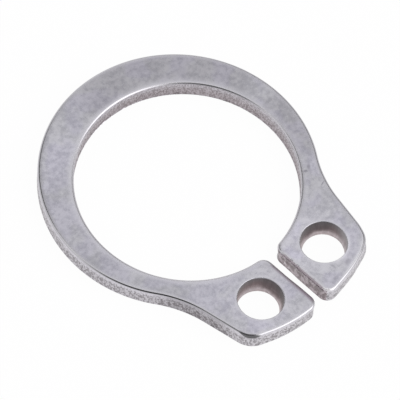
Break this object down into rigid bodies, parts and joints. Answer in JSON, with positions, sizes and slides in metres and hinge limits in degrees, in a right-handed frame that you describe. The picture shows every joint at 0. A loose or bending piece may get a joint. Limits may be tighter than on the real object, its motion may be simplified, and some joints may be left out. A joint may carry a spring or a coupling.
{
  "type": "retaining ring",
  "caption": "Flat spring steel retaining ring with tapered arms and drilled lugs, which snaps into a groove on a shaft to hold a part in place.",
  "frame": {"origin": "on the axis of the bore, at the lower face that the ring lies on", "axes": "+Z along the bore axis, out of the upper face; -Y through the gap between the lugs"},
  "size_m": [0.0136, 0.0165, 0.001],
  "materials": {
    "spring_steel": "tumbled satin, hardened spring steel"
  },
  "bodies": {
    "root": {"retaining_ring": "spring_steel"}
  },
  "joints": []
}
